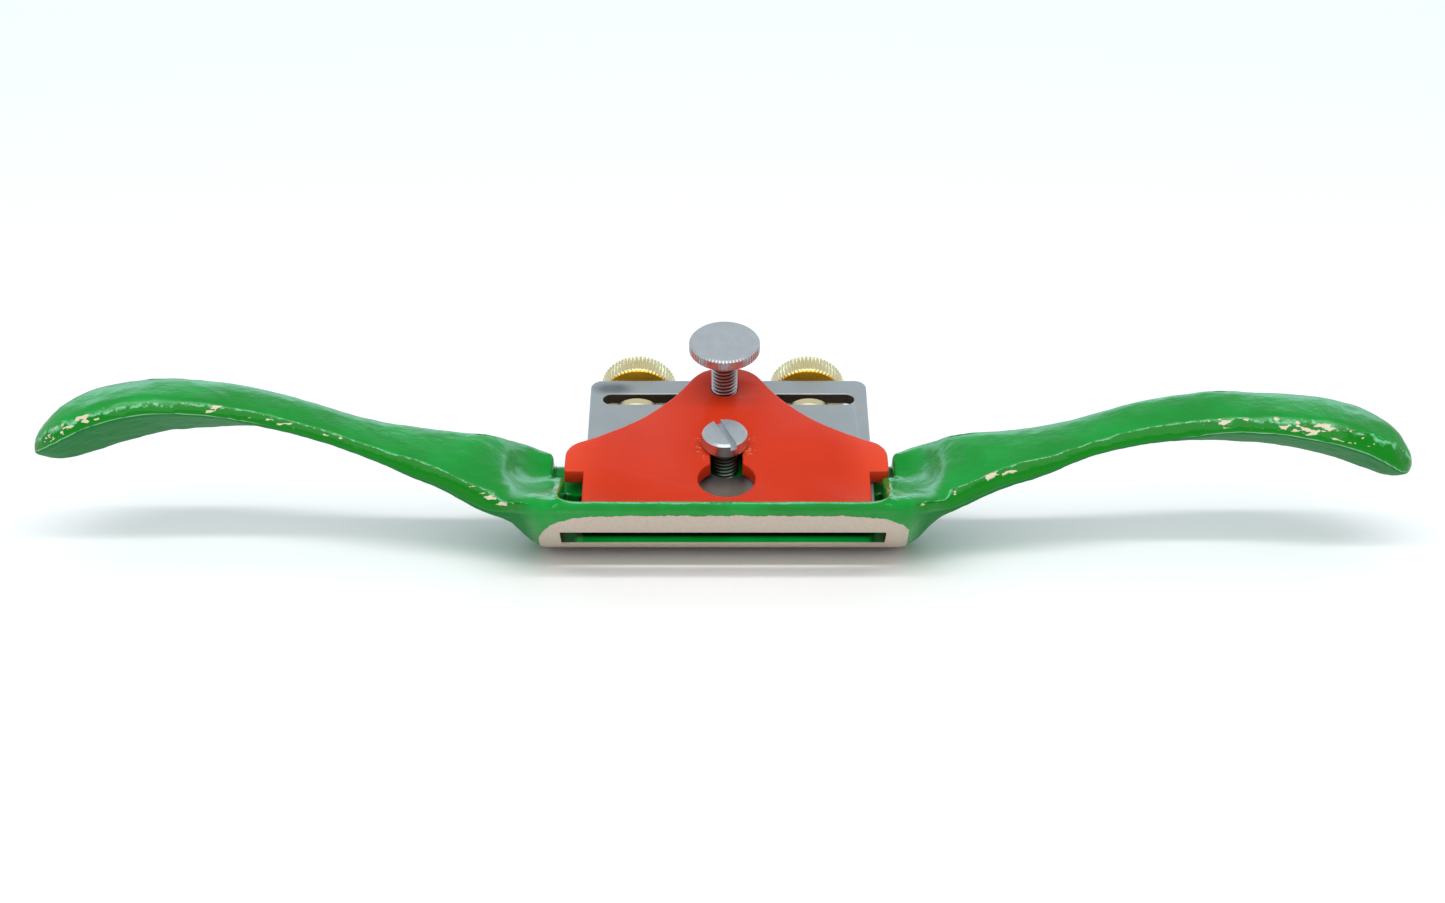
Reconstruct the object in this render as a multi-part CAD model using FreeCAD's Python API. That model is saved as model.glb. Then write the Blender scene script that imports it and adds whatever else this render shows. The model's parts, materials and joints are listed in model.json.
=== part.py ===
"""Round-bottomed spokeshave with a screw-adjusted cutter, as separate pieces in millimetres.

The tool is modelled upright, with the bed of the cutter at bed_angle and the middle of the sole's
arc at the origin.  At the end it is rolled back about the sole's centre of curvature until its
centre of mass hangs straight below that centre, which is how it comes to rest on a table.
X runs along the handles, -Y is the toe side, +Z is up, and the origin is the line of contact.
"""
import math
import os

import FreeCAD
import Part

V = FreeCAD.Vector

# ---- driving dimensions, mm and degrees ------------------------------------------------------
overall_length = 254.0        # tip to tip of the handles
sole_radius = 30.0            # the sole is a round bottom, an arc from toe to heel
bed_angle = 45.0              # slope of the bed that carries the cutter
mouth_rear = -4.0             # y of the mouth's rear edge, where the bed meets the sole
mouth_length = 6.2            # front to back
mouth_width = 59.0            # also the lower width of the throat between the cheeks
toe_reach = 18.0              # how far the toe bar stands in front of the origin
toe_height = 7.0              # top of the toe bar
heel_reach = 16.5             # how far the sole runs behind the origin
bed_side_height = 23.0        # up the bed, at the cheeks
bed_middle_height = 30.0      # up the bed, between the adjuster studs
bed_middle_width = 48.0
bed_thickness = 6.5
cheek_gap = 63.6              # upper width between the cheeks, above the ledges
cheek_rise = 5.0              # how far the cheeks stand proud of the bed
ledge_height = 13.9           # up the bed, where the cap's lugs sit down

blade_width = 54.0
blade_thickness = 2.45
blade_edge = 2.0              # up the bed from the mouth, with the cutter drawn back
blade_top = 46.6
blade_corner = 2.3
blade_offset = 1.1            # the cutter lies a little to one side in its seat
bevel_angle = 30.0
adjuster_slot_outer = 24.5
adjuster_slot_inner = 6.7
adjuster_slot_height = 3.3
adjuster_slot_drop = 4.4      # top of the cutter to the slot's upper edge
screw_slot_width = 9.2
screw_slot_below = 5.8        # cap screw to the slot's lower end, with the cutter at rest
screw_slot_above = 7.5

screw_station = 22.0          # up the bed, the cap screw
screw_offset = 0.35
screw_diameter = 5.0
screw_head_diameter = 8.5
screw_head_height = 3.0
screw_foot = 1.5              # past the casting's iron, inside its boss
screwdriver_slot = 1.25
screwdriver_slot_depth = 1.3
screwdriver_slot_turn = 67.0

cap_plate = 3.0
cap_air = 0.25                # hollow between the cap's plate and the cutter
cap_edge = 3.6                # up the bed, the cap's lower edge
cap_lip = 2.6                 # the lip that presses on the cutter
cap_lug_half = 30.2
cap_lower_half = 26.6
cap_lug_drop = 7.8            # cap screw to the underside of the lugs
cap_apex_rise = 24.5          # cap screw to the cap's top
cap_offset = 0.65
keyhole_diameter = 10.6
keyhole_drop = 10.0           # cap screw to the keyhole's round end
keyhole_slot = 6.0

thumb_station = 17.9          # above the cap screw
thumb_offset = 0.3
thumb_diameter = 5.0
thumb_head_diameter = 13.6
thumb_head_height = 2.4
thumb_reach = 8.8             # thread showing between the cap and the head

stud_spacing = 33.6
stud_diameter = 5.0
stud_setback = 3.5            # stud axis behind the bed plane
stud_depth = 12.0             # screwed into the casting
stud_end_margin = 1.0         # stud past the top of the nut
boss_diameter = 10.5

nut_wheel_diameter = 15.0
nut_wheel_height = 4.9
nut_neck_diameter = 6.8
nut_flange_diameter = 11.8
nut_flange_height = 2.1
nut_wheel_gap = 1.5           # cutter's top edge to the wheel
rim_chamfer = 0.4             # on the knurled rims of nuts and thumb screw
thread_pitch = 0.8

running = 0.05                # radial clearance of a screw that turns
seat = 0.1                    # clearance under a head or beside a shoulder

# densities, g/mm3
iron, steel, brass = 0.0072, 0.00785, 0.0085

# ---- the bed's own coordinates: s up the slope, h square to it ---------------------------------
slope = math.radians(bed_angle)
mouth_z = sole_radius - math.sqrt(sole_radius ** 2 - mouth_rear ** 2)


def bed(s, h, x=0.0):
    """A point s up the bed from the mouth and h above the bed plane."""
    y = mouth_rear + s * math.cos(slope) - h * math.sin(slope)
    z = mouth_z + s * math.sin(slope) + h * math.cos(slope)
    return V(x, y, z)


up_bed = V(0, math.cos(slope), math.sin(slope))
off_bed = V(0, -math.sin(slope), math.cos(slope))


def sole_z(y):
    return sole_radius - math.sqrt(sole_radius ** 2 - y ** 2)


def face_of(points):
    return Part.Face(Part.makePolygon(points + [points[0]]))


def slab(half_width, s_low, s_high, h_low, h_high, x=0.0):
    """A block lying square to the bed."""
    outline = [bed(s_low, h_low, x - half_width), bed(s_high, h_low, x - half_width),
               bed(s_high, h_high, x - half_width), bed(s_low, h_high, x - half_width)]
    return face_of(outline).extrude(V(2 * half_width, 0, 0))


def bed_prism(outline, h_low, h_high, x=0.0):
    """Extrude an outline of (x, s) points through the bed's normal direction."""
    points = [bed(s, h_low, x + px) for px, s in outline]
    return face_of(points).extrude(off_bed * (h_high - h_low))


def rod(radius, s, h_low, h_high, x=0.0):
    """A round bar square to the bed."""
    return Part.makeCylinder(radius, h_high - h_low, bed(s, h_low, x), off_bed)


def shaft(radius, s_low, s_high, x):
    """A round bar along an adjuster stud's axis."""
    return Part.makeCylinder(radius, s_high - s_low, bed(s_low, -stud_setback, x), up_bed)


def threaded(radius, start, direction, length, pitch=thread_pitch):
    """A threaded bar as a bar with fine rings: flat-bottomed grooves, so turning it clears."""
    bar = Part.makeCylinder(radius, length, start, direction)
    depth = 0.3 * pitch
    rings = []
    for i in range(1, int(length / (2 * pitch))):
        at = start + direction * (2 * pitch * i)
        ring = Part.makeCylinder(radius + 1, pitch, at, direction)
        rings.append(ring.cut(Part.makeCylinder(radius - depth, pitch, at, direction)))
    return bar.cut(Part.makeCompound(rings)) if rings else bar


# ---- body casting ------------------------------------------------------------------------------
# Each station of a handle: its distance from the middle, then the lower front corner (y, z), the
# lower rear corner (y, z), the crown above the line between them and the belly below it.
left_stations = [
    (44.0, (-7.0, 5.8), (8.2, 19.6), 7.0, 2.6),
    (50.0, (-7.0, 8.7), (7.6, 19.6), 6.4, 1.4),
    (56.0, (-7.0, 11.6), (7.7, 19.6), 6.2, 0.8),
    (62.0, (-7.0, 14.4), (8.0, 19.5), 6.0, 0.5),
    (68.0, (-7.0, 16.9), (7.6, 20.0), 5.9, 0.4),
    (74.0, (-7.0, 18.9), (7.3, 21.2), 6.2, 0.3),
    (80.0, (-7.2, 20.6), (7.7, 22.4), 6.5, 0.3),
    (86.0, (-7.6, 21.9), (8.0, 23.6), 6.7, 0.3),
    (92.0, (-8.3, 22.9), (8.9, 23.7), 7.2, 0.3),
    (98.0, (-8.9, 23.4), (9.8, 23.4), 7.7, 0.3),
    (104.0, (-9.2, 23.4), (10.2, 23.0), 8.1, 0.3),
    (110.0, (-9.4, 22.5), (10.1, 21.6), 8.6, 0.3),
    (115.5, (-9.0, 21.0), (9.5, 19.9), 9.1, 0.3),
    (120.8, (-7.6, 18.9), (7.8, 17.8), 8.9, 0.3),
    (124.2, (-5.4, 17.6), (5.6, 16.9), 7.4, 0.2),
    (127.0, (-2.2, 17.2), (2.4, 17.2), 3.6, 0.1),
]
right_stations = [
    (44.0, (-7.0, 6.7), (8.0, 19.4), 7.0, 2.4),
    (50.0, (-7.0, 9.3), (7.6, 19.5), 6.4, 1.4),
    (56.0, (-7.0, 11.4), (7.8, 19.4), 6.3, 0.8),
    (62.0, (-7.0, 13.9), (8.0, 19.4), 6.2, 0.5),
    (68.0, (-7.0, 16.2), (7.6, 20.0), 6.4, 0.4),
    (74.0, (-7.0, 17.7), (7.3, 20.6), 7.1, 0.3),
    (80.0, (-7.2, 18.7), (7.7, 20.7), 7.9, 0.3),
    (86.0, (-7.6, 19.4), (8.0, 20.9), 8.3, 0.3),
    (92.0, (-8.3, 20.0), (8.9, 21.0), 8.5, 0.3),
    (98.0, (-8.9, 19.9), (9.8, 20.8), 8.4, 0.3),
    (104.0, (-9.2, 19.2), (10.2, 20.4), 8.7, 0.3),
    (110.0, (-9.4, 18.0), (10.1, 19.3), 9.3, 0.3),
    (115.5, (-9.0, 16.6), (9.5, 17.8), 9.5, 0.3),
    (120.8, (-7.6, 14.5), (7.8, 15.5), 9.5, 0.3),
    (124.2, (-5.4, 13.1), (5.6, 13.9), 8.4, 0.2),
    (127.0, (-2.2, 14.8), (2.4, 15.0), 2.8, 0.1),
]
arch_steps = 9
sole_stock = 0.5              # left on the cast sole for grinding
lift_per_draw = 0.8           # the ends of the sole rise as they draw in
grind_reach = 45.0
boss_rise = 2.5
bed_corner = 5.0              # cut off the bed plate's upper corners
stud_cover = 3.0              # iron below a stud's foot
cheek_shoulder = 8.6          # up the bed, where the cheek starts to scoop
cheek_scoop = 14.6            # up the bed, the scoop's foot
toe_round = 2.6               # the toe bar's inner edge is cut back this far above the mouth
# The cheek: distance from the middle, how far toe and heel draw in, height of the lobe up the bed.
cheek_stations = [(mouth_width / 2, 0.0, 20.5), (32.6, 0.5, 22.6), (36.5, 3.2, 25.3)]


def wire_of(top, bottom):
    """A closed section of two smooth curves that meet at the two lower corners."""
    upper, lower = Part.BSplineCurve(), Part.BSplineCurve()
    upper.interpolate(top)
    lower.interpolate(bottom)
    return Part.Wire([upper.toShape(), lower.toShape()])


def handle_section(x, front, back, crown, belly):
    along = V(0, back[0] - front[0], back[1] - front[1])
    normal = V(0, -along.z, along.y).normalize()
    start = V(x, front[0], front[1])
    top, bottom = [], []
    for i in range(arch_steps):
        turn = math.pi * i / (arch_steps - 1)
        share = (1 - math.cos(turn)) / 2
        lift = abs(math.sin(turn)) ** 0.85
        top.append(start + along * share + normal * (crown * lift))
        bottom.append(start + along * (1 - share) - normal * (belly * lift))
    top[-1] = bottom[0] = start + along
    bottom[-1] = top[0] = start
    return wire_of(top, bottom)


def cast_z(y):
    """The sole as it is cast, before grinding takes the stock off."""
    return sole_radius - math.sqrt((sole_radius + sole_stock) ** 2 - y ** 2)


def cheek_section(x, draw_in, lobe):
    """The cheek beside the throat: toe, seat and lobe above, heel and sole below.

    draw_in pulls the toe and the heel in as the ends of the sole round off, and lobe is the
    height of the cheek's rear lobe up the bed.
    """
    toe = V(x, -toe_reach + draw_in, toe_height - 0.9 + 0.35 * draw_in)
    middle = 0.5 * (cheek_scoop + lobe)
    top = [toe, V(x, toe.y + 1.5, toe.z + 0.95), bed(cheek_shoulder, cheek_rise + 1.7, x),
           bed(cheek_scoop, cheek_rise - 0.8, x), bed(middle, cheek_rise - 0.6, x),
           bed(lobe - 0.9, cheek_rise - 0.7, x), bed(lobe, cheek_rise / 2, x), bed(lobe - 0.8, -2.5, x),
           bed(lobe - 2.8, -bed_thickness, x)]
    heel = heel_reach - draw_in
    rear = top[-1]
    bottom = [rear, V(x, heel + 1.0, 0.5 * (rear.z + cast_z(heel)))]
    for y in (heel, 0.62 * heel, 0.2 * heel, -0.22 * toe_reach, -0.6 * toe_reach, toe.y + 2.4):
        bottom.append(V(x, y, cast_z(y) + lift_per_draw * draw_in))
    bottom.append(toe)
    return wire_of(top, bottom)


def wing(side, stations):
    """One cheek, neck and handle as a single smooth loft."""
    stretch = (overall_length / 2) / stations[-1][0]
    sections = [cheek_section(side * x, draw, lobe) for x, draw, lobe in cheek_stations]
    for x, front, back, crown, belly in stations:
        sections.append(handle_section(side * x * stretch, front, back, crown, belly))
    return Part.makeLoft(sections, True, False)


def throat():
    """What the throat and mouth take out of the casting, above the bed and behind the toe bar."""
    front = mouth_rear - mouth_length
    outline = [bed(0, 0), bed(60, 0), V(0, -60, 60), V(0, -60, toe_height), V(0, front - toe_round, toe_height),
               V(0, front - toe_round + 0.6, toe_height - 0.6), V(0, front, sole_z(front)), V(0, front, -5),
               V(0, mouth_rear, -5)]
    cut = face_of(outline).extrude(V(mouth_width, 0, 0))
    cut.translate(V(-mouth_width / 2, 0, 0))
    return cut


def body_casting():
    half = mouth_width / 2
    core = Part.Face(cheek_section(-half, *cheek_stations[0][1:])).extrude(V(mouth_width, 0, 0))
    middle, edge = bed_middle_width / 2, cheek_gap / 2 + 1
    right = [(middle - bed_corner, bed_middle_height), (middle, bed_middle_height - bed_corner),
             (middle, bed_side_height), (edge, bed_side_height), (edge, ledge_height)]
    left = [(-x, s) for x, s in right]
    back_plate = bed_prism(left[::-1] + right, -bed_thickness, 0)
    extras = [back_plate, rod(boss_diameter / 2 + 0.5, screw_station, -bed_thickness - boss_rise, -1, screw_offset)]
    for side in (-1, 1):
        extras.append(shaft(boss_diameter / 2, bed_middle_height - stud_depth - stud_cover, bed_middle_height,
                            side * stud_spacing / 2))
        stations = right_stations if side > 0 else left_stations
        extras.append(wing(side, stations))
    body = core.fuse(extras)

    lugs = slab(cheek_gap / 2, ledge_height, bed_middle_height + 30, 0, 40)
    sole = Part.makeCylinder(sole_radius, 2 * grind_reach, V(-grind_reach, 0, sole_radius), V(1, 0, 0))
    grind = Part.makeBox(2 * grind_reach, 4 * sole_radius, 8, V(-grind_reach, -2 * sole_radius, -3)).cut(sole)
    holes = [rod(screw_diameter / 2 + running, screw_station, -bed_thickness - 8, 5, screw_offset)]
    for side in (-1, 1):
        holes.append(shaft(stud_diameter / 2, bed_middle_height - stud_depth, bed_middle_height + 5,
                           side * stud_spacing / 2))
    for cut in [throat(), lugs, grind] + holes:
        body = body.cut(cut)
    return body.removeSplitter()


# ---- cutter ------------------------------------------------------------------------------------
def blade():
    half = blade_width / 2
    low, top, r = blade_edge, blade_top, blade_corner
    plate = slab(half, low, top, 0, blade_thickness, blade_offset)
    corners = []
    for side in (-1, 1):
        at = blade_offset + side * (half - r)
        block = slab(r / 2 + 1, top - r, top + 1, -1, blade_thickness + 1, at + side * (r / 2 + 1))
        corners.append(block.cut(rod(r, top - r, -2, blade_thickness + 2, at)))
    plate = plate.cut(corners)
    ground = blade_thickness / math.tan(math.radians(bevel_angle))
    bevel = face_of([bed(low - 1, -1, -100), bed(low + ground, 0, -100) - off_bed * 1,
                     bed(low + ground, 0, -100), bed(low, blade_thickness, -100),
                     bed(low - 1, blade_thickness, -100)]).extrude(V(200, 0, 0))
    plate = plate.cut(bevel)

    slot_mid = top - adjuster_slot_drop - adjuster_slot_height / 2
    r = adjuster_slot_height / 2
    cuts = []
    for side in (-1, 1):
        inner, outer = side * (adjuster_slot_inner + r), side * (adjuster_slot_outer - r)
        cuts.append(slab(abs(outer - inner) / 2, slot_mid - r, slot_mid + r, -1, blade_thickness + 1,
                         blade_offset + (inner + outer) / 2))
        for end in (inner, outer):
            cuts.append(rod(r, slot_mid, -1, blade_thickness + 1, blade_offset + end))
    r = screw_slot_width / 2
    low_end, high_end = screw_station - screw_slot_below + r, screw_station + screw_slot_above - r
    cuts.append(slab(r, low_end, high_end, -1, blade_thickness + 1, blade_offset))
    for end in (low_end, high_end):
        cuts.append(rod(r, end, -1, blade_thickness + 1, blade_offset))
    return plate.cut(cuts).removeSplitter()


# ---- lever cap ---------------------------------------------------------------------------------
# Half widths of the cap above its lugs, at heights above the cap screw.
cap_flank = [(28.6, 0.4), (26.2, 1.7), (23.0, 3.5), (19.9, 5.5), (16.8, 7.8), (13.7, 10.8), (10.8, 14.2),
             (9.0, 16.8), (7.4, 19.6), (6.0, 21.9), (4.3, 23.5)]


def cap_outline(h):
    """The cap's edge at height h: one smooth curve from lug to lug over the apex, then the foot."""
    def at(x, rise):
        return bed(screw_station + rise, h, x)

    shoulder = [(cap_lug_half, -3.3), (cap_lug_half - 0.5, -1.1)]
    right = [at(x, rise) for x, rise in shoulder + cap_flank]
    left = [at(-x, rise) for x, rise in shoulder + cap_flank]
    crest = Part.BSplineCurve()
    crest.interpolate(right + [at(0, cap_apex_rise)] + left[::-1])
    foot = cap_edge - screw_station
    corners = [left[0], at(-cap_lug_half, -cap_lug_drop), at(-cap_lower_half, -cap_lug_drop),
               at(-cap_lower_half, foot), at(cap_lower_half, foot), at(cap_lower_half, -cap_lug_drop),
               at(cap_lug_half, -cap_lug_drop), right[0]]
    return Part.Wire([crest.toShape()] + Part.makePolygon(corners).Edges)


def lever_cap():
    outline = cap_outline(blade_thickness)
    front = cap_air + cap_plate
    cap = Part.Face(outline).extrude(off_bed * front)
    under = blade_thickness + cap_air
    cap = cap.cut(slab(cap_lug_half + 2, cap_edge + cap_lip, blade_top + 10, blade_thickness - 1, under))
    top = blade_thickness + front + 1
    key = screw_station - keyhole_drop
    cuts = [rod(keyhole_diameter / 2, key, 0, top), rod(keyhole_slot / 2, screw_station, 0, top),
            slab(keyhole_slot / 2, key, screw_station, 0, top),
            rod(thumb_diameter / 2 + running, screw_station + thumb_station, 0, top, thumb_offset - cap_offset)]
    cap = cap.cut(cuts).removeSplitter()
    cap.translate(V(cap_offset, 0, 0))
    return cap


# ---- screws, studs and nuts ----------------------------------------------------------------------
def cap_front():
    return blade_thickness + cap_air + cap_plate


def cap_screw():
    foot = -bed_thickness - screw_foot
    head = cap_front() + seat
    shank = threaded(screw_diameter / 2, bed(screw_station, foot, screw_offset), off_bed, head - foot)
    cheese = rod(screw_head_diameter / 2, screw_station, head, head + screw_head_height, screw_offset)
    slot = Part.makeBox(screw_head_diameter + 2, screwdriver_slot, screwdriver_slot_depth + 1,
                        V(-screw_head_diameter / 2 - 1, -screwdriver_slot / 2, 0))
    slot.rotate(V(0, 0, 0), V(0, 0, 1), -screwdriver_slot_turn)
    slot.rotate(V(0, 0, 0), V(1, 0, 0), bed_angle)
    slot.translate(bed(screw_station, head + screw_head_height - screwdriver_slot_depth, screw_offset))
    return shank.fuse(cheese).cut(slot).removeSplitter()


def thumb_screw():
    s = screw_station + thumb_station
    tip = blade_thickness
    under = cap_front() + thumb_reach
    shank = threaded(thumb_diameter / 2, bed(s, tip, thumb_offset), off_bed, under - tip)
    r = thumb_head_diameter / 2
    head = rod(r, s, under, under + thumb_head_height, thumb_offset)
    head = head.makeChamfer(rim_chamfer, [e for e in head.Edges if abs(e.Length - 2 * math.pi * r) < 0.01])
    return shank.fuse(head).removeSplitter()


def nut_levels():
    """Heights up the bed of the nut's flange, neck and wheel."""
    wheel = blade_top + nut_wheel_gap
    slot_low = blade_top - adjuster_slot_drop - adjuster_slot_height
    flange = slot_low + seat
    return flange, flange + nut_flange_height, wheel, wheel + nut_wheel_height


def stud(side):
    top = nut_levels()[3] + stud_end_margin
    low = bed_middle_height - stud_depth
    start = bed(low, -stud_setback, side * stud_spacing / 2)
    return threaded(stud_diameter / 2, start, up_bed, top - low)


def nut(side):
    x = side * stud_spacing / 2
    flange, neck, wheel, top = nut_levels()
    r = nut_wheel_diameter / 2
    disc = shaft(r, wheel, top, x)
    disc = disc.makeChamfer(rim_chamfer, [e for e in disc.Edges if abs(e.Length - 2 * math.pi * r) < 0.01])
    collar = [shaft(nut_neck_diameter / 2, flange, wheel, x), shaft(nut_flange_diameter / 2, flange, neck, x)]
    return disc.fuse(collar).cut(shaft(stud_diameter / 2 + running, flange - 1, top + 1, x)).removeSplitter()


# ---- put the tool together and let it roll to rest -----------------------------------------------
def main():
    pieces = {
        "body_casting": (body_casting(), iron),
        "blade": (blade(), steel),
        "lever_cap": (lever_cap(), iron),
        "cap_screw": (cap_screw(), steel),
        "thumb_screw": (thumb_screw(), steel),
        "stud_left": (stud(-1), steel),
        "stud_right": (stud(1), steel),
        "nut_left": (nut(-1), brass),
        "nut_right": (nut(1), brass),
    }
    mass = sum(shape.Volume * density for shape, density in pieces.values())
    moment = V(0, 0, 0)
    for shape, density in pieces.values():
        moment = moment + shape.CenterOfGravity * (shape.Volume * density)
    centre = moment * (1 / mass)
    roll_back = math.degrees(math.atan2(centre.y, sole_radius - centre.z))
    os.makedirs("parts", exist_ok=True)
    for name, (shape, density) in pieces.items():
        shape = shape.copy()
        shape.rotate(V(0, 0, sole_radius), V(1, 0, 0), -roll_back)
        shape.exportStep("parts/" + name + ".step")
        print("%-13s solids %d valid %s volume %9.1f mm3 mass %6.1f g" % (
            name, len(shape.Solids), shape.isValid(), shape.Volume, shape.Volume * density))
    print("mass %.1f g, centre of mass (%.2f, %.2f, %.2f), rolls back %.4f degrees"
          % (mass, centre.x, centre.y, centre.z, roll_back))


main()
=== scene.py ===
import json
import math

import bmesh
import bpy
from mathutils import Matrix, Vector

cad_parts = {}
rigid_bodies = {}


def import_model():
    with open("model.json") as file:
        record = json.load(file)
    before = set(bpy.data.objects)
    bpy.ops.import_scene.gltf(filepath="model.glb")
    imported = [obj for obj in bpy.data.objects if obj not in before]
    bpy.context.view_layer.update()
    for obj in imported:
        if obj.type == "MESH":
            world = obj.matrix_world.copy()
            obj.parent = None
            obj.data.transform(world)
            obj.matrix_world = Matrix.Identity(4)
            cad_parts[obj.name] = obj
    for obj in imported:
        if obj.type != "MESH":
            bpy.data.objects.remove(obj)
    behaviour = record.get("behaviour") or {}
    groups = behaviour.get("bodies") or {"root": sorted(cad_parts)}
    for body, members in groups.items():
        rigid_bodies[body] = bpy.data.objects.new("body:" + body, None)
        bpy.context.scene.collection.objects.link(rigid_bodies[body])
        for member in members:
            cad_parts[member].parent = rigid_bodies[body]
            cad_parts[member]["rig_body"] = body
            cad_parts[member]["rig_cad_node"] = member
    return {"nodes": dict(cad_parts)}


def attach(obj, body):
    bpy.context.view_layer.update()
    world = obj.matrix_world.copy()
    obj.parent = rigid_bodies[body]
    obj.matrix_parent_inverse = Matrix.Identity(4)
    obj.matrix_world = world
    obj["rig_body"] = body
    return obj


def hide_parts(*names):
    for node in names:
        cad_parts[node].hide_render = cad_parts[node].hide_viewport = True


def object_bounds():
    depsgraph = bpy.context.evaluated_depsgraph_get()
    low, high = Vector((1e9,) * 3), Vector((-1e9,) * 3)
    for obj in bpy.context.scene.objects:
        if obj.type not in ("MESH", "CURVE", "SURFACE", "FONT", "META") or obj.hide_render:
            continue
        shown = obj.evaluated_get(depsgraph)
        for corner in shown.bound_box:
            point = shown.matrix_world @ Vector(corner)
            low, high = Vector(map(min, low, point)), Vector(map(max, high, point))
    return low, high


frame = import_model()
cad_low, cad_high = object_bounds()

# ---- The camera ------------------------------------------------------------------------------------
# It stands a little above bench height and square to the toe, and looks down on the tool at 19 degrees
# from less than half a metre.
bpy.ops.object.camera_add(location=(-0.00009, -0.4325, 0.1670), rotation=(math.radians(70.88), 0, 0))
camera = bpy.context.object
camera.name = "bench_camera"
camera.data.sensor_width = 36
camera.data.lens = 60.82
camera.data.clip_start = 0.01
bpy.context.scene.camera = camera


# ---- The table -------------------------------------------------------------------------------------
# A plain white sheet, flat and far larger than the tool, which lies on it.
class Shade:
    """A socket of a material's nodes.  Arithmetic on it adds Math nodes."""

    def __init__(self, tree, socket):
        self.tree, self.socket = tree, socket

    def node(self, kind, settings=None, output=0, **values):
        """Add a node of this kind, set it up, then give its sockets values or links."""
        made = self.tree.nodes.new(kind)
        for name, value in (settings or {}).items():
            setattr(made, name, value)
        for name, value in values.items():
            socket = made.inputs[int(name[1:]) if name[1:].isdigit() else name.replace("_", " ")]
            if isinstance(value, Shade):
                self.tree.links.new(value.socket, socket)
            else:
                socket.default_value = value
        return Shade(self.tree, made.outputs[output])

    def maths(self, operation, first, second=0.0):
        return self.node("ShaderNodeMath", {"operation": operation}, i0=first, i1=second)

    def __add__(self, other): return self.maths("ADD", self, other)
    def __radd__(self, other): return self.maths("ADD", other, self)
    def __sub__(self, other): return self.maths("SUBTRACT", self, other)
    def __rsub__(self, other): return self.maths("SUBTRACT", other, self)
    def __mul__(self, other): return self.maths("MULTIPLY", self, other)
    def __rmul__(self, other): return self.maths("MULTIPLY", other, self)
    def __truediv__(self, other): return self.maths("DIVIDE", self, other)
    def __pow__(self, other): return self.maths("POWER", self, other)
    def __abs__(self): return self.maths("ABSOLUTE", self)

    def at_least(self, low): return self.maths("MAXIMUM", self, low)
    def at_most(self, high): return self.maths("MINIMUM", self, high)

    def step(self, low, high):
        """0 below low, 1 above high, smooth between."""
        return self.node("ShaderNodeMapRange", {"interpolation_type": "SMOOTHSTEP"},
                         Value=self, From_Min=low, From_Max=high)

    def fade(self, low, high):
        """1 below low, 0 above high, smooth between."""
        return 1 - self.step(low, high)

    def span(self, start, full, wane, end):
        """1 from full to wane, 0 before start and after end."""
        return self.step(start, full) * self.fade(wane, end)

    def noise(self, scale, detail=2.0, rough=0.5):
        """Cloudy noise at this many lumps a metre."""
        return self.node("ShaderNodeTexNoise", None, Vector=self, Scale=scale, Detail=detail, Roughness=rough)

    def mix(self, first, second):
        """first where this mask is 0 and second where it is 1, as colours."""
        return self.node("ShaderNodeMix", {"data_type": "RGBA"}, 2, i0=self, i6=first, i7=second)

    def stretched(self, scale):
        """The place with its axes scaled: what is drawn on it runs along the axis of the least scale."""
        return self.node("ShaderNodeMapping", None, Vector=self, Scale=scale)

    def split(self):
        """x, y and z of a place."""
        made = self.node("ShaderNodeSeparateXYZ", None, Vector=self).socket.node
        return [Shade(self.tree, out) for out in made.outputs]

    def relief(self):
        """The bump of a surface that stands this many metres high."""
        return self.node("ShaderNodeBump", None, Strength=1.0, Distance=1.0, Height=self)


def new_material(name):
    """A named material with its shader, and the place on the piece as a Shade to build on."""
    material = bpy.data.materials.new(name)
    material.use_nodes = True
    tree = material.node_tree
    surface = tree.nodes["Principled BSDF"]
    place = tree.nodes.new("ShaderNodeTexCoord").outputs["Object"]
    return material, surface, Shade(tree, place)


def finish_surface(surface, **values):
    """Set the shader's sockets by name to numbers, colours or Shades."""
    for name, value in values.items():
        socket = surface.inputs[name.replace("_", " ")]
        if isinstance(value, Shade):
            surface.id_data.links.new(value.socket, socket)
        else:
            socket.default_value = value


white_sheet, surface, place = new_material("white_sheet")
finish_surface(surface, Base_Color=(0.93, 0.93, 0.93, 1), Roughness=0.7, Specular_IOR_Level=0.2)
bpy.ops.mesh.primitive_plane_add(size=6)
table = bpy.context.object
table.name = "table"
table.data.materials.append(white_sheet)

# ---- Studio lights ---------------------------------------------------------------------------------
# A long strip overhead that draws the sheen along the handles, a soft box in front, and a cool box low
# behind.  The pale world fills the shadows.
world = bpy.data.worlds.new("studio")
bpy.context.scene.world = world
world.use_nodes = True
background = world.node_tree.nodes["Background"]
background.inputs["Color"].default_value = (0.95, 0.98, 1.0, 1)
background.inputs["Strength"].default_value = 0.62
bpy.context.scene.view_settings.view_transform = "Standard"
for name, place_at, aim, wide, deep, power, colour in [
        ("ridge_strip", (0.0, -0.42, 1.05), (0, 0, 0), 1.8, 0.12, 6.5, (1.0, 1.0, 1.0)),
        ("front_box", (0.0, -1.0, 1.0), (0, 0, 0), 1.4, 1.0, 7.0, (1.0, 1.0, 1.0)),
        ("back_box", (0.0, 1.10, 0.45), (0, 0, 0.02), 1.7, 0.35, 4.2, (0.55, 0.84, 1.0))]:
    facing = (Vector(aim) - Vector(place_at)).to_track_quat("-Z", "Y").to_euler()
    bpy.ops.object.light_add(type="AREA", location=place_at, rotation=facing)
    lamp = bpy.context.object
    lamp.name = name
    lamp.visible_camera = False
    lamp.data.shape = "RECTANGLE"
    lamp.data.size, lamp.data.size_y = wide, deep
    lamp.data.energy = power
    lamp.data.color = colour

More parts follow.
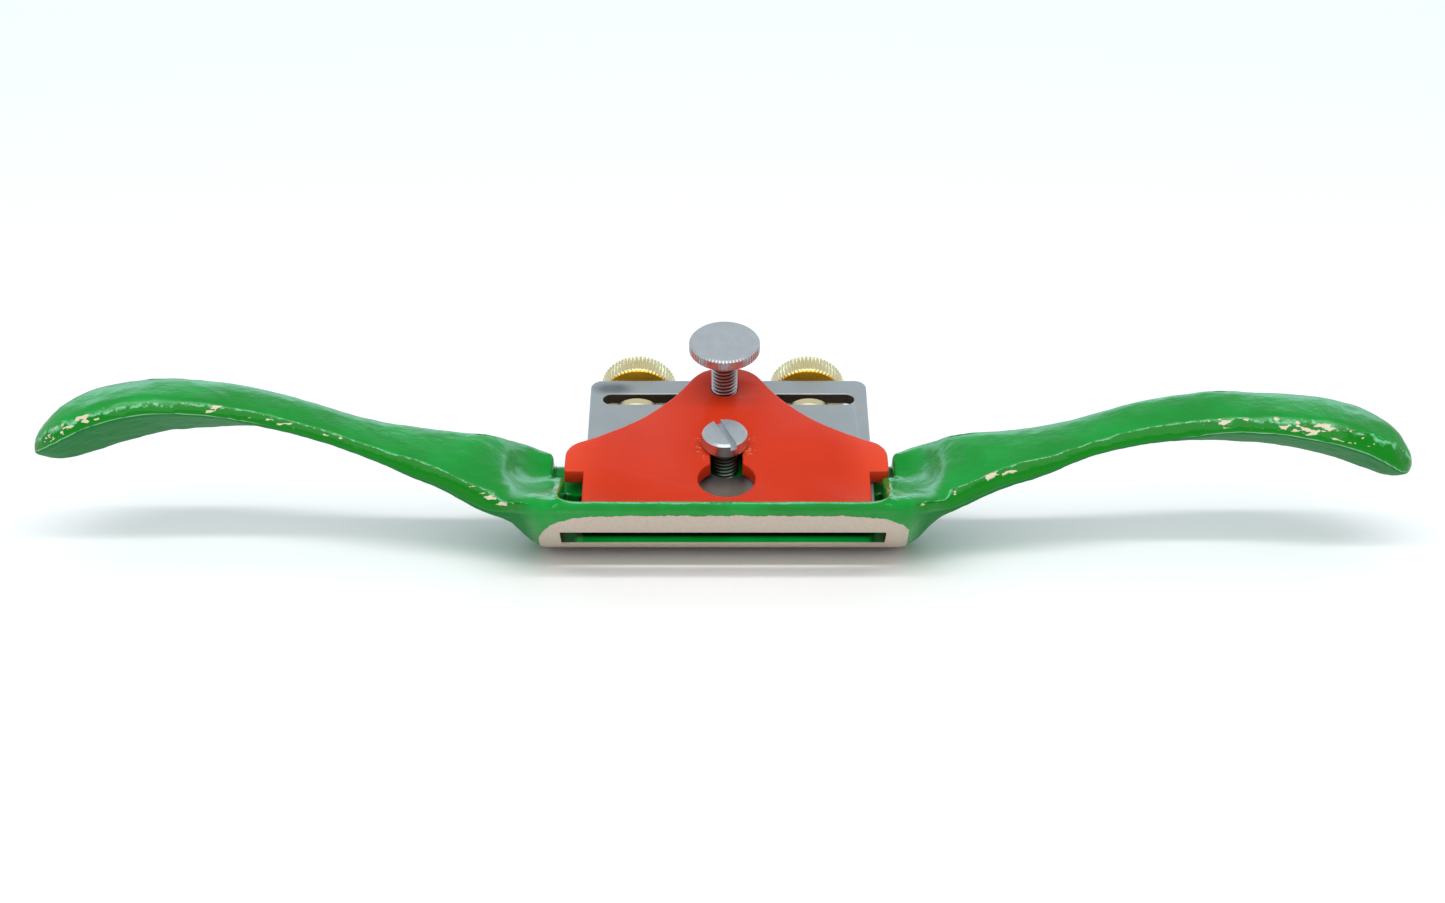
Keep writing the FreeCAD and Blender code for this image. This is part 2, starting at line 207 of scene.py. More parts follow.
# ---- The casting -----------------------------------------------------------------------------------
# One grey-iron casting: sole and toe bar, bed, two cheeks and the gull-wing handles.  It is dipped in
# green enamel, which chips along the ridges, and its round sole is then ground to bare iron.  The
# enamel's colour also carries painted shade, highlight and reflection.  The tool has rolled back on
# that sole until it balances.
mm = 0.001
roll_back = math.radians(25.8171)
bed_angle = math.radians(45)
sole_radius = 30 * mm
sole_centre = Vector((0, 0, sole_radius))
mouth_rear, mouth_length, mouth_width = -4 * mm, 6.2 * mm, 59 * mm


def pick(piece):
    """Make this the one selected piece."""
    bpy.ops.object.select_all(action="DESELECT")
    piece.select_set(True)
    bpy.context.view_layer.objects.active = piece


def apply_modifier(piece, kind, **settings):
    """Add a modifier, set it and apply it."""
    pick(piece)
    made = piece.modifiers.new(kind.lower(), kind)
    for name, value in settings.items():
        setattr(made, name, value)
    bpy.ops.object.modifier_apply(modifier=made.name)


def combine(piece, other, operation):
    """Cut the other piece out of this one, or add it, and throw the other away."""
    apply_modifier(piece, "BOOLEAN", operation=operation, object=other, solver="EXACT")
    bpy.data.objects.remove(other)


def edit_whole():
    """Start to edit the active piece, with its whole mesh selected."""
    bpy.ops.object.mode_set(mode="EDIT")
    bpy.ops.mesh.select_all(action="SELECT")


def close_mesh():
    """Merge doubled points, turn the faces outwards and stop editing."""
    bpy.ops.mesh.select_all(action="SELECT")
    bpy.ops.mesh.remove_doubles(threshold=1e-6)
    bpy.ops.mesh.normals_make_consistent(inside=False)
    bpy.ops.object.mode_set(mode="OBJECT")


def finish_piece(piece, material, crease):
    """Give a piece its material, and smooth shading where its faces meet at under crease degrees."""
    piece.data.materials.clear()
    piece.data.materials.append(material)
    pick(piece)
    bpy.ops.object.shade_smooth_by_angle(angle=math.radians(crease))


def copy_of_node(node, name):
    """A merged copy of a CAD node, to be worked on."""
    pick(frame["nodes"][node])
    bpy.ops.object.duplicate()
    piece = bpy.context.object
    piece.name = name
    bpy.ops.object.parent_clear(type="CLEAR_KEEP_TRANSFORM")
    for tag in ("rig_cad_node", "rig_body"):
        del piece[tag]
    piece.data.materials.clear()
    edit_whole()
    close_mesh()
    return piece


def about_sole(angle):
    """A turn about the centre line of the round sole."""
    return Matrix.Translation(sole_centre) @ Matrix.Rotation(angle, 4, "X") @ Matrix.Translation(-sole_centre)


def ramp(value, low, high):
    """0 below low, 1 above high, smooth between."""
    share = min(max((value - low) / (high - low), 0), 1)
    return share * share * (3 - 2 * share)


casting = copy_of_node("body_casting", "enamelled_casting")

# The mouth is filled for now, so that it can be cut crisp after the casting has been softened.
plug_reach = 28.3 * mm
bpy.ops.mesh.primitive_cylinder_add(vertices=720, radius=sole_radius, depth=mouth_width + 1 * mm,
                                    rotation=(0, math.radians(90), 0), location=sole_centre)
plug = bpy.context.object
bpy.ops.object.transform_apply()
towards_mouth = math.asin((-mouth_rear + mouth_length / 2) / sole_radius)
chord = Vector((0, -math.sin(towards_mouth), -math.cos(towards_mouth)))
edit_whole()
bpy.ops.mesh.bisect(plane_co=sole_centre + chord * plug_reach, plane_no=chord, use_fill=True, clear_inner=True)
bpy.ops.object.mode_set(mode="OBJECT")

# A fillet in each corner between the top of the toe bar and a cheek, sunk a little into both.
fillet, into_cheek, into_toe = 3.6 * mm, 0.6 * mm, 0.3 * mm
toe_front, toe_rear, toe_top = -17.6 * mm, -12.9 * mm, 6.3 * mm
toe_middle = (toe_front + toe_rear) / 2
cheek = mouth_width / 2 + into_cheek
fills = [plug]
for side in (-1, 1):
    bpy.ops.mesh.primitive_cube_add(
        size=1, location=(side * (cheek - fillet / 2), toe_middle, toe_top + fillet / 2 - into_toe),
        scale=(fillet, toe_rear - toe_front, fillet - 0.4 * mm))
    block = bpy.context.object
    bpy.ops.object.transform_apply()
    bpy.ops.mesh.primitive_cylinder_add(
        vertices=96, radius=fillet, depth=12 * mm, rotation=(math.radians(90), 0, 0),
        location=(side * (cheek - fillet), toe_middle, toe_top + fillet))
    combine(block, bpy.context.object, "DIFFERENCE")
    fills.append(block)
pick(casting)
for block in fills:
    block.data.transform(about_sole(-roll_back))
    block.select_set(True)
bpy.ops.object.join()
casting = bpy.context.object

apply_modifier(casting, "REMESH", mode="VOXEL", voxel_size=0.52 * mm, use_smooth_shade=True)
apply_modifier(casting, "SMOOTH", factor=0.5, iterations=7)

# The necks run into the cheeks in one soft hollow, and the toe bar's edges are well rounded.
# All of it but the ground sole is left rough from the mould.  The limits are in millimetres.
sole_line = (29.2, 29.7)
neck_starts, neck_ends = (31.0, 36.0), (50.0, 60.0)
rough_starts = (32.0, 36.0)
toe_ends = (-15.0, -13.4)
soft = casting.vertex_groups.new(name="soft")
rough = casting.vertex_groups.new(name="rough")
upright = about_sole(roll_back)
for vertex in casting.data.vertices:
    at = upright @ vertex.co
    far = abs(at.x) / mm
    off_sole = 1 - ramp((at - Vector((at.x, 0, sole_radius))).length / mm, *sole_line)
    neck = ramp(far, *neck_starts) * (1 - ramp(far, *neck_ends))
    toe = 0.5 * (1 - ramp(at.y / mm, *toe_ends))
    soft.add([vertex.index], off_sole * max(neck, toe * (1 - neck)), "REPLACE")
    rough.add([vertex.index], off_sole * max(ramp(far, *rough_starts), toe), "REPLACE")
apply_modifier(casting, "SMOOTH", factor=0.5, iterations=110, vertex_group="soft")

# The handles' upper faces are broad and nearly flat, down to a low ridge above the front band.
# They are pressed in along the way the front faces, one millimetre of handle at a time, so that the
# handles' outline stays as it is.
outwards, upwards = Vector((0, -0.945, 0.327)), Vector((0, 0.327, 0.945))
handle_start, level_within, press = 34 * mm, 0.4 * mm, 0.62
slices = {}
for vertex in casting.data.vertices:
    if abs(vertex.co.x) > handle_start:
        slices.setdefault(round(vertex.co.x / mm), []).append((vertex.co @ upwards, vertex.co @ outwards))
chords = {}
for station, points in slices.items():
    top = max(points)
    foot = max(points, key=lambda point: 0.80 * point[1] - 0.60 * point[0])
    ridge_share = 0.25 + 0.12 * ramp(abs(station), 44, 54) + 0.15 * ramp(abs(station), 90, 108)
    ridge_height = foot[0] + ridge_share * (top[0] - foot[0])
    level = [point for point in points if abs(point[0] - ridge_height) < level_within]
    crest = max(level, key=lambda point: point[1]) if level else foot
    chords[station] = (ridge_height, crest[1], top[0], top[1])
smooth_chords = {}
for station in chords:
    near = [chords[station + step] for step in range(-3, 4) if station + step in chords]
    smooth_chords[station] = [sum(values) / len(near) for values in zip(*near)]
flattened = casting.vertex_groups.new(name="flattened")
for vertex in casting.data.vertices:
    far = abs(vertex.co.x) / mm
    share = ramp(far, 38, 43) * (1 - ramp(far, 117, 124))
    left = math.floor(vertex.co.x / mm)
    if share == 0 or left not in smooth_chords or left + 1 not in smooth_chords:
        continue
    between = vertex.co.x / mm - left
    ridge_height, ridge_out, top_height, top_out = [
        a + (b - a) * between for a, b in zip(smooth_chords[left], smooth_chords[left + 1])]
    rise = (vertex.co @ upwards - ridge_height) / (top_height - ridge_height)
    proud = vertex.co @ outwards - (ridge_out + rise * (top_out - ridge_out))
    flattened.add([vertex.index], share, "REPLACE")
    if 0 < rise < 1 and proud > 0:
        vertex.co -= outwards * proud * press * share
casting.data.update()
apply_modifier(casting, "SMOOTH", factor=0.5, iterations=4, vertex_group="flattened")

# How far each point's face leans, in right angles: 0 faces the user, 1 straight up, under 0 below.
# The enamel reads it for its chips and roughness, and for the painted shade, highlight and reflection that follow
# the lean of the face under it.
lean = casting.data.attributes.new("lean", "FLOAT", "POINT")
for vertex in casting.data.vertices:
    lean.data[vertex.index].value = math.atan2(vertex.normal.z, -vertex.normal.y) / math.radians(90)

# Soft lumps on the rough iron.  No point may end outside the casting's true size.
lumpy = bpy.data.textures.new("cast_lumps", "CLOUDS")
lumpy.noise_scale = 4.0 * mm
lumpy.noise_depth = 2
apply_modifier(casting, "DISPLACE", texture=lumpy, texture_coords="LOCAL", strength=0.35 * mm, mid_level=0.5,
               vertex_group="rough")
for vertex in casting.data.vertices:
    vertex.co = [min(max(value, low), high) for value, low, high in zip(vertex.co, cad_low, cad_high)]

# The mouth, cut square through the sole and up against the bed.
mouth_front = mouth_rear - mouth_length
mouth_z = sole_radius - math.sqrt(sole_radius ** 2 - mouth_rear ** 2)
under_sole, up_to_bed, front_top = -2 * mm, 3 * mm, 4.4 * mm
profile = [(mouth_front, under_sole), (mouth_rear, under_sole), (mouth_rear, mouth_z),
           (mouth_rear + up_to_bed, mouth_z + up_to_bed), (mouth_front, front_top)]
bpy.ops.mesh.primitive_circle_add(vertices=len(profile), radius=1, fill_type="NGON")
mouth_cut = bpy.context.object
for vertex, (y, z) in zip(mouth_cut.data.vertices, profile):
    vertex.co = (-mouth_width / 2, y, z)
edit_whole()
bpy.ops.mesh.extrude_region_move(TRANSFORM_OT_translate={"value": (mouth_width, 0, 0)})
close_mesh()
mouth_cut.data.transform(about_sole(-roll_back))
combine(casting, mouth_cut, "DIFFERENCE")

enamel, surface, place = new_material("green_enamel")
across, along, up = place.split()
leaning = place.node("ShaderNodeAttribute", {"attribute_name": "lean"}, 2)
aside = abs(across)
reach = (along * along + (up - sole_radius) * (up - sole_radius)) ** 0.5

# Bare iron where the sole was ground, up to a wandering line that drops to its ends.
bare_middle, bare_half, bare_height = 0.7 * mm, 34.8 * mm, 13.62 * mm
wander = (place.noise(420, 3, 0.65) - 0.5) * (1.4 * mm)
end_drop = 1 - (abs(across - bare_middle) / bare_half) ** 8
ground_to = end_drop.at_least(0.0) ** 0.333 * bare_height
bare = reach.step(29.66 * mm, 29.74 * mm) * (ground_to - up - wander).step(-0.04 * mm, 0.04 * mm)
enamelled = 1 - bare

# Inside the mouth the enamel is painted dark as shade, the darker the deeper it lies, and is brown at the ends.
in_mouth = reach.fade(29.62 * mm, 29.7 * mm) * aside.fade(29.6 * mm, 29.8 * mm) \
    * up.fade(11.0 * mm, 11.5 * mm) * along.fade(-4 * mm, -3 * mm)
near_ends = aside.step(26.4 * mm, 27.4 * mm)
deep = reach.fade(28.1 * mm, 29.1 * mm) * (1 - near_ends) + near_ends * 0.75
at_ends = aside.step(29.15 * mm, 29.35 * mm) * reach.step(26.2 * mm, 26.5 * mm)

# On the handles a thin ridge parts the rough upper face from the glossy front band, which is painted darker as
# shade.
ridge_lean, edge_lean = 0.47, -0.22
handle = aside.step(33 * mm, 37 * mm)
waver = (place.noise(300, 3, 0.6) - 0.5) * 0.34
drift = (place.noise(40, 1, 0.5) - 0.5) * 0.25
from_ridge = leaning - ridge_lean - waver - drift
band = from_ridge.fade(-0.03, 0.03) * leaning.step(-0.30, -0.15)
# A pale painted highlight runs along the ridge, broken in places.
ridge = (1 - abs(from_ridge) * 18).at_least(0.0) * handle
broken = place.noise(700, 2, 0.6).step(0.44, 0.56)
# The tips' lower edges get a pale painted reflection of the table.
lower_edge = (1 - abs(leaning - edge_lean) * 9).at_least(0.0) * aside.step(82 * mm, 90 * mm)
below = leaning.fade(-0.34, -0.20)
# The undersides of the handles are painted darker as shade.
under_handle = below * handle
top_face = (1 - band) * (1 - below) * handle

# Chips to the beige primer, just under the ridge, where the tool gets knocked.  Each row says where a
# worn stretch starts, is at its worst, wanes and ends, in millimetres across, and how worn it is.
worn_stretches = [(-128, -123.5, -113.5, -109, 1.0), (-97, -94, -70, -66, 0.55), (-47.5, -46, -38, -36.5, 0.95),
                  (30.5, 32, 36, 38, 0.8), (40, 43, 52, 56, 0.85), (86, 90, 116, 120, 0.9)]
worn = sum(across.span(start * mm, full * mm, wane * mm, end * mm) * wear
           for start, full, wane, end, wear in worn_stretches)
flakes = place.stretched((0.45, 1, 1)).noise(800, 2, 0.55)
chip = (flakes - (0.72 - worn * 0.17)).step(0.0, 0.02) * handle \
    * (leaning + waver).span(0.18, 0.24, 0.46, 0.52) * worn.step(0.1, 0.2)

# The coat is greener where it is thick, and other tints lie over that, the last on top: painted shade on
# the front bands, the undersides and deep in the mouth, a painted highlight along the ridges, a painted
# reflection on the tips' lower edges, brown at the mouth's ends, and the chips.
thin_coat, thick_coat = (0.0, 0.225, 0.019, 1), (0.0, 0.29, 0.034, 1)
front_shade_green, under_shade_green = (0.0, 0.17, 0.001, 1), (0.0, 0.16, 0.022, 1)
ridge_highlight_green, edge_reflection_green = (0.22, 0.62, 0.36, 1), (0.35, 0.66, 0.42, 1)
mouth_shade_green, mouth_brown = (0.0, 0.010, 0.001, 1), (0.035, 0.022, 0.006, 1)
primer = (0.62, 0.56, 0.40, 1)
green = place.noise(90, 3.0, 0.55).step(0.35, 0.7).mix(thin_coat, thick_coat)
for mask, tint in [(band * 0.85 * handle, front_shade_green), (under_handle, under_shade_green),
                   (ridge * broken * 0.75, ridge_highlight_green), (lower_edge * 0.7, edge_reflection_green),
                   (in_mouth * deep, mouth_shade_green), (in_mouth * at_ends, mouth_brown), (chip, primer)]:
    green = mask.mix(green, tint)

# Iron ground lengthwise, with a fine grain.
dark_iron, bright_iron = (0.44, 0.37, 0.30, 1), (0.66, 0.57, 0.48, 1)
grind = place.stretched((1, 30, 30)).noise(900, 4, 0.6)
grain = place.noise(4200, 2, 0.7)
iron = (grind * 0.5 + grain * 0.5).step(0.3, 0.7).mix(dark_iron, bright_iron)

lumps = place.noise(420, 2.0, 0.55)
ripple = place.noise(1500, 2.0, 0.5)
streaks = place.stretched((0.4, 1, 1)).noise(1300, 3, 0.6)
roughness = bare * 0.42 + enamelled * (0.12 + top_face * (0.10 + place.noise(260, 3, 0.6) * 0.3) + chip * 0.3
                                       + under_handle * 0.45)
coat = enamelled * (1 - in_mouth * deep) * (1 - under_handle) * (0.12 + top_face * 0.28)
height = enamelled * (lumps * (0.20 * mm) + streaks * top_face * (0.07 * mm) + ripple * (0.04 * mm)
                      - chip * (0.12 * mm)) + bare * grind * (0.012 * mm)
finish_surface(surface, Base_Color=bare.mix(green, iron), Roughness=roughness, Metallic=bare * 0.35,
               Normal=height.relief(), IOR=1.25, Coat_Weight=coat, Coat_Roughness=0.2)
finish_piece(casting, enamel, 35)
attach(casting, "body")
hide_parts("body_casting")

# ---- The studs -------------------------------------------------------------------------------------
# Two M5 studs screwed into the back of the bed, which carry the adjusting nuts.
# They are plated steel with rolled threads.
thread_pitch, thread_radius = 0.8 * mm, 2.5 * mm
thread_depth = 0.58 * thread_pitch
stud_spacing, stud_setback = 33.6 * mm, 3.5 * mm
stud_low, stud_high = 18 * mm, 54 * mm
tilt = bed_angle - roll_back
mouth_at = about_sole(-roll_back) @ Vector((0, mouth_rear, mouth_z))


def threaded_bar(name, radius, length):
    """A screw thread standing on the origin along Z, with its ends cut square."""
    root, flat = radius - thread_depth, 0.1 * thread_pitch
    turn = [(root, 0), (root, flat), (radius, 4 * flat), (radius, 5.2 * flat), (root, 8.2 * flat),
            (root, thread_pitch)]
    bpy.ops.mesh.primitive_circle_add(vertices=len(turn), radius=1)
    bar = bpy.context.object
    bar.name = name
    for vertex, (r, z) in zip(bar.data.vertices, turn):
        vertex.co = (r, 0, z - thread_pitch)
    bpy.ops.object.mode_set(mode="EDIT")
    shape = bmesh.from_edit_mesh(bar.data)
    for edge in list(shape.edges):
        if abs(edge.verts[0].index - edge.verts[1].index) > 1:
            shape.edges.remove(edge)
    bmesh.update_edit_mesh(bar.data)
    bpy.ops.object.mode_set(mode="OBJECT")
    apply_modifier(bar, "SCREW", axis="Z", screw_offset=thread_pitch, iterations=int(length / thread_pitch) + 3,
                   steps=32, render_steps=32, use_merge_vertices=True, merge_threshold=1e-6)
    bpy.ops.object.mode_set(mode="EDIT")
    for height, side in ((0, 1), (length, -1)):
        bpy.ops.mesh.select_all(action="SELECT")
        bpy.ops.mesh.bisect(plane_co=(0, 0, height), plane_no=(0, 0, side), use_fill=True, clear_inner=True)
    close_mesh()
    return bar


def mark_grooves(piece, up_to=1.0):
    """Note how deep in the thread each point below a height is, from 0 on its crest to 1 at its root."""
    groove = piece.data.attributes.new("groove", "FLOAT", "POINT")
    for vertex in piece.data.vertices:
        deep = (thread_radius - math.hypot(vertex.co.x, vertex.co.y)) / thread_depth
        groove.data[vertex.index].value = min(max(deep, 0), 1) if vertex.co.z < up_to else 0


def seat_on_bed(piece, station, lift, x, along_bed=False):
    """Lay a piece made standing on the origin onto the bed: station up it from the mouth and lift off it,
    to stand off the bed or lie along it."""
    stand = Matrix.Rotation(math.radians(-90), 4, "X") if along_bed else Matrix.Identity(4)
    piece.data.transform(Matrix.Translation(mouth_at) @ Matrix.Rotation(tilt, 4, "X")
                         @ Matrix.Translation((x, station, lift)) @ stand)


zinc, surface, place = new_material("zinc_plate")
dull_zinc, bright_zinc, groove_shade = (0.56, 0.62, 0.66, 1), (0.72, 0.77, 0.80, 1), (0.07, 0.065, 0.06, 1)
cloud = place.noise(500, 3, 0.6)
# The threads' roots are painted dark as shade.
grooves = place.node("ShaderNodeAttribute", {"attribute_name": "groove"}, 2).step(0.15, 0.8) * 0.9
finish_surface(surface, Base_Color=grooves.mix(cloud.mix(dull_zinc, bright_zinc), groove_shade), Metallic=1.0,
               Roughness=0.24 + cloud * 0.14, Normal=(place.noise(6000, 2, 0.6) * (0.006 * mm)).relief())

for side, node in ((-1, "stud_left"), (1, "stud_right")):
    stud = threaded_bar(node + "_threaded", thread_radius, stud_high - stud_low)
    mark_grooves(stud)
    seat_on_bed(stud, stud_low, -stud_setback, side * stud_spacing / 2, along_bed=True)
    finish_piece(stud, zinc, 30)
    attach(stud, "body")
    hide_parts(node)

# ---- The adjusting nuts ----------------------------------------------------------------------------
# Two brass nuts, each turned in one piece: a knurled wheel, a neck, and a flange that sits in the
# cutter's slot.  The rings are (radius, height) in millimetres, from the flange up.
knurl_ridges = 60
nut_low, nut_bore = 39.0 * mm, 2.55 * mm
nut_rings = [(5.6, 0), (5.9, 0.25), (5.9, 1.85), (5.65, 2.1), (3.4, 2.1), (3.4, 9.1), (6.7, 9.1), (7.1, 9.1),
             (7.5, 9.5), (7.5, 13.6), (7.1, 14.0), (5.0, 14.0), (4.8, 13.75), (3.0, 13.75)]


def turned(name, rings, steps, bore=0.0):
    """Turn a piece along Z from (radius, height) rings in millimetres, bored through if it has a bore."""
    bpy.ops.mesh.primitive_circle_add(vertices=steps, radius=rings[0][0] * mm,
                                      fill_type="NOTHING" if bore else "NGON")
    piece = bpy.context.object
    piece.name = name
    edit_whole()
    bpy.ops.transform.translate(value=(0, 0, rings[0][1] * mm))
    lift_ring = bpy.ops.mesh.extrude_edges_move if bore else bpy.ops.mesh.extrude_region_move
    path = rings[1:] + ([(bore / mm, rings[-1][1]), (bore / mm, rings[0][1]), rings[0]] if bore else [])
    radius, height = rings[0]
    for new_radius, new_height in path:
        lift_ring(TRANSFORM_OT_translate={"value": (0, 0, (new_height - height) * mm)})
        share = new_radius / radius
        bpy.ops.transform.resize(value=(share, share, 1), center_override=(0, 0, 0))
        radius, height = new_radius, new_height
    close_mesh()
    return piece


def knurl(piece, radius, low, high, depth):
    """Press straight ridges round a rim: every other pair of its points goes in by depth."""
    bpy.ops.object.mode_set(mode="EDIT")
    shape = bmesh.from_edit_mesh(piece.data)
    for vertex in shape.verts:
        turns = math.atan2(vertex.co.y, vertex.co.x) / (2 * math.pi)
        on_rim = math.hypot(vertex.co.x, vertex.co.y) > radius * 0.995 and low < vertex.co.z < high
        vertex.select = on_rim and round(turns * knurl_ridges * 4) % 4 < 2
    shape.select_flush_mode()
    bmesh.update_edit_mesh(piece.data)
    share = 1 - depth / radius
    bpy.ops.transform.resize(value=(share, share, 1), center_override=(0, 0, 0))
    bpy.ops.object.mode_set(mode="OBJECT")


def up_the_bed(along, up):
    """How far up the bed from the mouth a place is, from its y and z."""
    return (along - mouth_at.y) * math.cos(tilt) + (up - mouth_at.z) * math.sin(tilt)


brass, surface, place = new_material("turned_brass")
pale_brass, bright_brass = (0.86, 0.76, 0.44, 1), (0.93, 0.85, 0.55, 1)
shaded_gold, tarnish = (0.78, 0.44, 0.03, 1), (0.16, 0.10, 0.03, 1)
cloud = place.noise(350, 3, 0.6)
spots = place.noise(2600, 1, 0.4).step(0.79, 0.84)
across, along, up = place.split()
# Under the knurled wheel the brass is painted a deeper gold as shade, and is made less metallic there.
under_wheel = up_the_bed(along, up).span(nut_low + 6.5 * mm, nut_low + 7.5 * mm,
                                         nut_low + 9.3 * mm, nut_low + 9.4 * mm)
gold = under_wheel.mix(cloud.mix(pale_brass, bright_brass), shaded_gold)
finish_surface(surface, Base_Color=spots.mix(gold, tarnish), Metallic=1 - under_wheel * 0.45,
               Roughness=0.22 + cloud * 0.12, Normal=(place.noise(5000, 2, 0.6) * (0.005 * mm)).relief())

wheel = turned("knurled_nut", nut_rings, knurl_ridges * 4, nut_bore)
knurl(wheel, 7.5 * mm, 9.2 * mm, 13.9 * mm, 0.22 * mm)
finish_piece(wheel, brass, 30)
for side, node in ((-1, "nut_left"), (1, "nut_right")):
    nut = wheel.copy()
    nut.data = wheel.data.copy()
    nut.name = node + "_knurled"
    bpy.context.collection.objects.link(nut)
    seat_on_bed(nut, nut_low, -stud_setback, side * stud_spacing / 2, along_bed=True)
    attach(nut, node)
    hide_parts(node)
bpy.data.objects.remove(wheel)

# ---- The cutter ------------------------------------------------------------------------------------
# A flat steel cutter, ground on its faces, with the two slots that the nuts' flanges sit in and a
# long hole for the cap screw.


def round_edges(piece, width, segments):
    """Join a CAD copy's triangles into whole faces and round its edges."""
    pick(piece)
    edit_whole()
    bpy.ops.mesh.dissolve_limited(angle_limit=math.radians(2))
    bpy.ops.object.mode_set(mode="OBJECT")
    apply_modifier(piece, "BEVEL", width=width, segments=segments, limit_method="ANGLE",
                   angle_limit=math.radians(40), use_clamp_overlap=False)


cutter = copy_of_node("blade", "ground_cutter")
round_edges(cutter, 0.15 * mm, 2)

steel, surface, place = new_material("tool_steel")
dark_steel, bright_steel, stain = (0.38, 0.43, 0.46, 1), (0.50, 0.55, 0.57, 1), (0.10, 0.11, 0.12, 1)
brown_grime, keyhole_shadow_black, slot_brown = (0.12, 0.092, 0.068, 1), (0.010, 0.008, 0.006, 1), (0.035, 0.024, 0.016, 1)
lines = place.stretched((1, 14, 14)).noise(700, 4, 0.6)
cloud = place.noise(120, 3, 0.6)
across, along, up = place.split()
up_bed = up_the_bed(along, up)
off_bed = (up - mouth_at.z) * math.cos(tilt) - (along - mouth_at.y) * math.sin(tilt)

# A dark smudge beside the left nut, brown in the slots' walls, and under the cap's keyhole grime that darkens into
# painted black shadow towards the cap screw.
smudge_x, smudge_up = -21.5 * mm, 44.0 * mm
from_smudge = ((across - smudge_x) * (across - smudge_x) * 0.25 + (up_bed - smudge_up) * (up_bed - smudge_up)) ** 0.5
smudge = from_smudge.fade(0.4 * mm, 2.8 * mm) * (cloud.step(0.2, 0.6) * 0.6 + 0.4)
walls = off_bed.span(0.18 * mm, 0.28 * mm, 2.22 * mm, 2.32 * mm) * abs(across).fade(25.5 * mm, 25.8 * mm) \
    * up_bed.span(4 * mm, 5 * mm, 50.0 * mm, 50.2 * mm)
keyhole_grime_and_shadow = abs(across).fade(3.5 * mm, 7.5 * mm) * up_bed.span(6 * mm, 11 * mm, 27 * mm, 29 * mm)
keyhole_grime_and_shadow = (keyhole_grime_and_shadow * (0.75 + cloud * 0.5)).at_most(1.0)
skin = (smudge * 0.8).mix(cloud.mix(dark_steel, bright_steel), stain)
# Towards the cap screw's shank the brown grime turns into painted black shadow.
skin = keyhole_grime_and_shadow.mix(skin, up_bed.step(11.5 * mm, 16.5 * mm).mix(brown_grime, keyhole_shadow_black))
skin = walls.mix(skin, slot_brown)
finish_surface(surface, Base_Color=skin, Metallic=0.85 - walls * 0.5 - keyhole_grime_and_shadow * 0.65,
               Roughness=0.33 + lines * 0.18 + walls * 0.25, Normal=(lines * (0.01 * mm)).relief())
finish_piece(cutter, steel, 25)
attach(cutter, "blade")
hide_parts("blade")

# ---- The lever cap ---------------------------------------------------------------------------------
# A cast-iron cap in red enamel, with a keyhole over the cap screw.  Its lugs drop between the cheeks,
# and the thumb screw through its top presses its lower edge on the cutter.
screw_station, screw_x = 22 * mm, 0.35 * mm
cap = copy_of_node("lever_cap", "red_lever_cap")
round_edges(cap, 0.35 * mm, 3)

red, surface, place = new_material("red_enamel")
dark_red, bright_red = (0.54, 0.026, 0.003, 1), (0.61, 0.034, 0.006, 1)
lug_red, scuffed_red = (0.80, 0.070, 0.022, 1), (0.86, 0.30, 0.16, 1)
across, along, up = place.split()
up_from_screw = up_the_bed(along, up) - screw_station
coat = place.noise(150, 2, 0.5).mix(dark_red, bright_red)
coat = (abs(across).step(21 * mm, 31 * mm) * 0.6).mix(coat, lug_red)
from_screw = ((across - screw_x) * (across - screw_x) + up_from_screw * up_from_screw) ** 0.5
scuffs = from_screw.span(4.0 * mm, 4.3 * mm, 5.2 * mm, 6.6 * mm) * place.noise(1500, 3, 0.6).step(0.55, 0.66)
finish_surface(surface, Base_Color=(scuffs * 0.6).mix(coat, scuffed_red), Roughness=0.36, IOR=1.3,
               Normal=(place.noise(900, 2, 0.5) * (0.03 * mm)).relief())
finish_piece(cap, red, 35)
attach(cap, "lever_cap")
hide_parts("lever_cap")

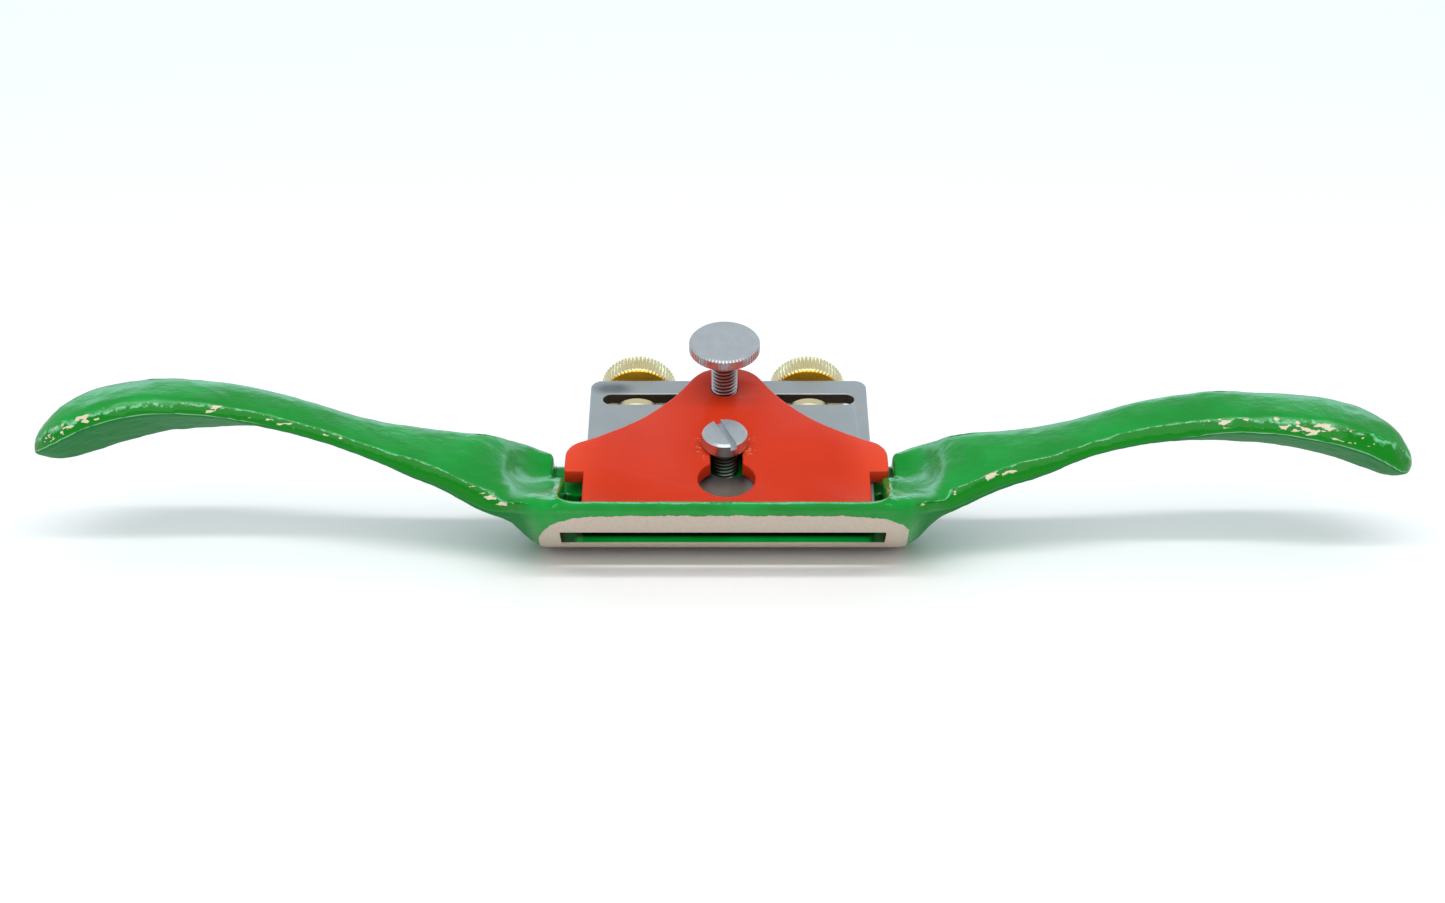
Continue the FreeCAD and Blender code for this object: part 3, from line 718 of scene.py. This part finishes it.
# ---- The cap screw ---------------------------------------------------------------------------------
# An M5 cheese-head screw down through the cutter into the bed.  The cap hooks under its head.
cap_front, screw_foot = 5.7 * mm, -8.0 * mm
head_base = cap_front + 0.1 * mm
slot_width, slot_turn = 1.25 * mm, math.radians(-67)
slot_floor = 1.7 * mm
shank = threaded_bar("cap_screw_threaded", thread_radius, head_base + 0.2 * mm - screw_foot)
shank.data.transform(Matrix.Translation((0, 0, screw_foot)))
screw = turned("cap_screw_slotted", [(3.95, 0), (4.25, 0.25), (4.25, 2.55), (3.85, 3.0)], 128)
screw.data.transform(Matrix.Translation((0, 0, head_base)))
bpy.ops.mesh.primitive_cube_add(size=1)
slot_cut = bpy.context.object
slot_cut.data.transform(Matrix.Translation((0, 0, head_base + slot_floor + 2 * mm))
                        @ Matrix.Rotation(slot_turn, 4, "Z") @ Matrix.Diagonal((12 * mm, slot_width, 4 * mm, 1)))
combine(screw, slot_cut, "DIFFERENCE")
combine(screw, shank, "UNION")
mark_grooves(screw, head_base - 0.01 * mm)
seat_on_bed(screw, screw_station, 0, screw_x)
finish_piece(screw, zinc, 28)
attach(screw, "cap_screw")
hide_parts("cap_screw")

# ---- The thumb screw -------------------------------------------------------------------------------
# An M5 screw with a knurled disc for a head, through the cap's top onto the cutter.
thumb_station, thumb_x = 39.9 * mm, 0.3 * mm
blade_face, disc_base = 2.45 * mm, 14.5 * mm
shank = threaded_bar("thumb_thread", thread_radius, disc_base + 0.2 * mm - blade_face)
shank.data.transform(Matrix.Translation((0, 0, blade_face)))
disc_rings = [(6.4, 0), (6.8, 0.4), (6.8, 1.0), (6.8, 2.0), (6.4, 2.4)]
thumb = turned("thumb_screw_knurled", disc_rings, knurl_ridges * 4)
knurl(thumb, 6.8 * mm, 0.3 * mm, 2.1 * mm, 0.18 * mm)
thumb.data.transform(Matrix.Translation((0, 0, disc_base)))
combine(thumb, shank, "UNION")
mark_grooves(thumb, disc_base - 0.01 * mm)
seat_on_bed(thumb, thumb_station, 0, thumb_x)
finish_piece(thumb, zinc, 28)
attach(thumb, "thumb_screw")
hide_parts("thumb_screw")
